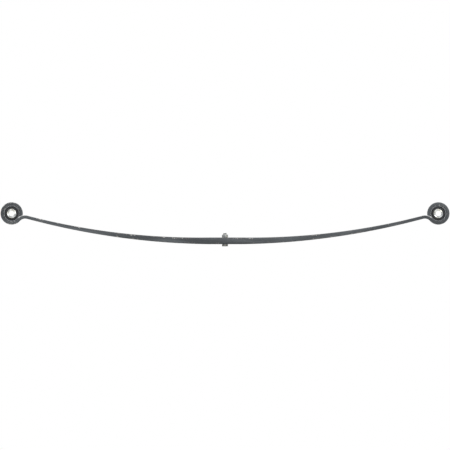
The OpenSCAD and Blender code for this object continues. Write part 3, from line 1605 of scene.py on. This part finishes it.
@dataclass(frozen=True)
class LeafSpring:
    """The whole spring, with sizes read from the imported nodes' boxes.

    Args:
        finishes: its materials.
        record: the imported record, for the mounts' sizes.
        press_gap: clearance that the CAD leaves round the outer sleeve.
        turn_gap: clearance that it leaves round the inner sleeve.
    """

    finishes: Finishes
    record: dict[str, Any]
    press_gap: float = 0.02 * MM
    turn_gap: float = 0.02 * MM

    def leaf(self, half: Half) -> LeafHalf:
        """Size one half of the leaf.

        Args:
            half: which half.

        Returns:
            The half, sized.
        """
        leaf_low, leaf_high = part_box("main_leaf")
        sleeve_low, sleeve_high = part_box("front_bush_outer_sleeve")
        eye = (sleeve_low + sleeve_high) / 2
        seat_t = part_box("centre_nut")[0].z
        bore_r = (sleeve_high.z - sleeve_low.z) / 2 + self.press_gap
        return LeafHalf(
            half=half,
            eye_x=eye.x,
            camber=eye.z - seat_t / 2,
            bore_r=bore_r,
            tip_t=leaf_high.z - eye.z - bore_r,
            seat_t=seat_t,
            width=leaf_high.y - leaf_low.y,
        )

    def bush(self, half: Half) -> list[TurnedPiece]:
        """Size the three pieces of one bush.

        Args:
            half: which eye it is in.

        Returns:
            The outer sleeve, the rubber and the inner sleeve.
        """
        outer, rubber, inner = (
            f"{half.label}_bush_{part}" for part in ("outer_sleeve", "rubber", "inner_sleeve")
        )
        low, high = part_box(outer)
        rubber_low, rubber_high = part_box(rubber)
        inner_low, inner_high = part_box(inner)
        centre = (low + high) / 2
        inner_r = (inner_high.z - inner_low.z) / 2
        bolt = next(m for m in self.record["mounts"] if m["name"] == f"{half.label}_eye_bolt")
        return [
            OuterSleeve(
                outer,
                half.eye_body,
                "outer_sleeve",
                centre,
                outer_r=(high.z - low.z) / 2,
                half_long=high.y,
            ),
            BushRubber(
                rubber,
                half.eye_body,
                "rubber",
                centre,
                inner_r=inner_r + self.turn_gap,
                outer_r=(rubber_high.z - rubber_low.z) / 2,
                half_long=rubber_high.y,
            ),
            InnerSleeve(
                inner,
                f"{half.label}_bush_inner",
                "inner_sleeve",
                centre,
                bore_r=bolt["dims"]["r_mm"] * MM,
                outer_r=inner_r,
                half_long=inner_high.y,
            ),
        ]

    def build(self) -> None:
        """Build every piece of the spring, dress it and set it on its body."""
        for half in Half:
            leaf = self.leaf(half)
            piece = leaf.build()
            dress(piece, self.finishes.paint)
            leaf.place(piece)
            report(piece)
            materials = (self.finishes.tube, self.finishes.rubber, self.finishes.zinc)
            for part, material in zip(self.bush(half), materials):
                self.add(part, material)
        seat_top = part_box("centre_nut")[0].z
        bolt_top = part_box("centre_bolt")[1].z
        bolt = CentreBolt("centre_bolt", "spring", "bolt", Vector((0, 0, 0)), top=bolt_top)
        nut = CentreNut("centre_nut", "spring", "nut", Vector((0, 0, seat_top)))
        self.add(bolt, self.finishes.zinc)
        self.add(nut, self.finishes.zinc)

    def add(self, part: TurnedPiece, material: bpy.types.Material) -> None:
        """Build, dress and place one turned piece.

        Args:
            part: the piece.
            material: its finish.
        """
        piece = part.build()
        dress(piece, material)
        part.place(piece)
        report(piece)


def report(piece: bpy.types.Object) -> None:
    """Log one finished piece.

    Args:
        piece: the finished object.
    """
    LOG.info("%s: %d faces", piece.name, len(piece.data.polygons))


@dataclass(frozen=True)
class SoftBox:
    """A square studio lamp.

    Args:
        name: what it does.
        place: where it hangs.
        size: length of its side.
        power: watts.
    """

    name: str
    place: tuple[float, float, float]
    size: float
    power: float

    def hang(self, target: Vector) -> None:
        """Hang the lamp, facing a point.

        Args:
            target: what it lights.
        """
        data = bpy.data.lights.new(self.name, "AREA")
        data.shape = "SQUARE"
        data.size = self.size
        data.energy = self.power
        lamp = bpy.data.objects.new(self.name, data)
        lamp.location = self.place
        lamp.rotation_euler = (target - Vector(self.place)).to_track_quat("-Z", "Y").to_euler()
        lamp.visible_camera = False
        bpy.context.scene.collection.objects.link(lamp)


@dataclass(frozen=True)
class Studio:
    """The floor, lights and camera.

    Args:
        view_width: width of what the camera sees.
        view_height: height of the middle of the view above the seat's mid-thickness.
        camera_back: distance from the spring to the camera.
        floor_size: side of the floor.
        sight: how far the camera sees.
        room: colour of the light that fills the room.
        room_power: its strength.
        card: colour of the backdrop.
        lamps: the studio's lamps.
    """

    view_width: float = 1.265625
    view_height: float = 44.5 * MM
    camera_back: float = 3.0
    floor_size: float = 60.0
    sight: float = 100.0
    room: str = "#e6e9ec"
    room_power: float = 0.7
    card: str = "#ffffff"
    lamps: tuple[SoftBox, ...] = (
        SoftBox("key", (-1.3, -2.6, 2.2), 1.6, 62.0),
        SoftBox("fill", (1.8, -2.2, 1.0), 1.6, 22.0),
        SoftBox("top", (0.2, 0.9, 2.6), 1.8, 60.0),
    )

    def build(self) -> None:
        """Set up the floor, the lamps, the backdrop and the camera."""
        low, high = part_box("main_leaf")
        middle = (low + high) / 2
        self.lay_floor(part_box("centre_bolt")[0].z)
        for lamp in self.lamps:
            lamp.hang(middle)
        self.light_world()
        self.set_camera(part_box("centre_nut")[0].z / 2 + self.view_height)

    def lay_floor(self, height: float) -> None:
        """Lay the floor that the spring stands on.

        Args:
            height: the floor's height.
        """
        bpy.ops.mesh.primitive_plane_add(size=self.floor_size, location=(0, 0, height))
        floor = bpy.context.object
        floor.name = "floor"
        floor.data.materials.append(PaleFloor().make())

    def light_world(self) -> None:
        """Fill the room with soft pale light, white where it is seen."""
        world = bpy.data.worlds.new("white_room")
        bpy.context.scene.world = world
        world.use_nodes = True
        tree = world.node_tree
        tree.nodes.clear()
        seen = add_node(tree, "ShaderNodeLightPath").outputs["Is Camera Ray"]
        room, card = (
            add_node(
                tree, "ShaderNodeBackground", {"Color": linear(colour), "Strength": strength}
            ).outputs[0]
            for colour, strength in ((self.room, self.room_power), (self.card, 1.0))
        )
        mixed = add_node(tree, "ShaderNodeMixShader", (seen, room, card)).outputs[0]
        add_node(tree, "ShaderNodeOutputWorld", {"Surface": mixed})

    def set_camera(self, height: float) -> None:
        """Aim a parallel camera squarely at the spring's side.

        Args:
            height: height of the middle of the view.
        """
        data = bpy.data.cameras.new("side_elevation")
        data.type = "ORTHO"
        data.ortho_scale = self.view_width
        data.clip_end = self.sight
        camera = bpy.data.objects.new("side_elevation", data)
        camera.location = (0.0, -self.camera_back, height)
        camera.rotation_euler = (math.radians(90), 0.0, 0.0)
        bpy.context.scene.collection.objects.link(camera)
        bpy.context.scene.camera = camera


def main() -> None:
    """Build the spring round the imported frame, and its studio."""
    logging.basicConfig(level=logging.INFO, format="%(name)s %(message)s")
    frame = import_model()
    bpy.context.scene.view_settings.view_transform = "Standard"
    LeafSpring(Finishes.make(), frame["record"]).build()
    Studio().build()


if __name__ == "__main__":
    main()
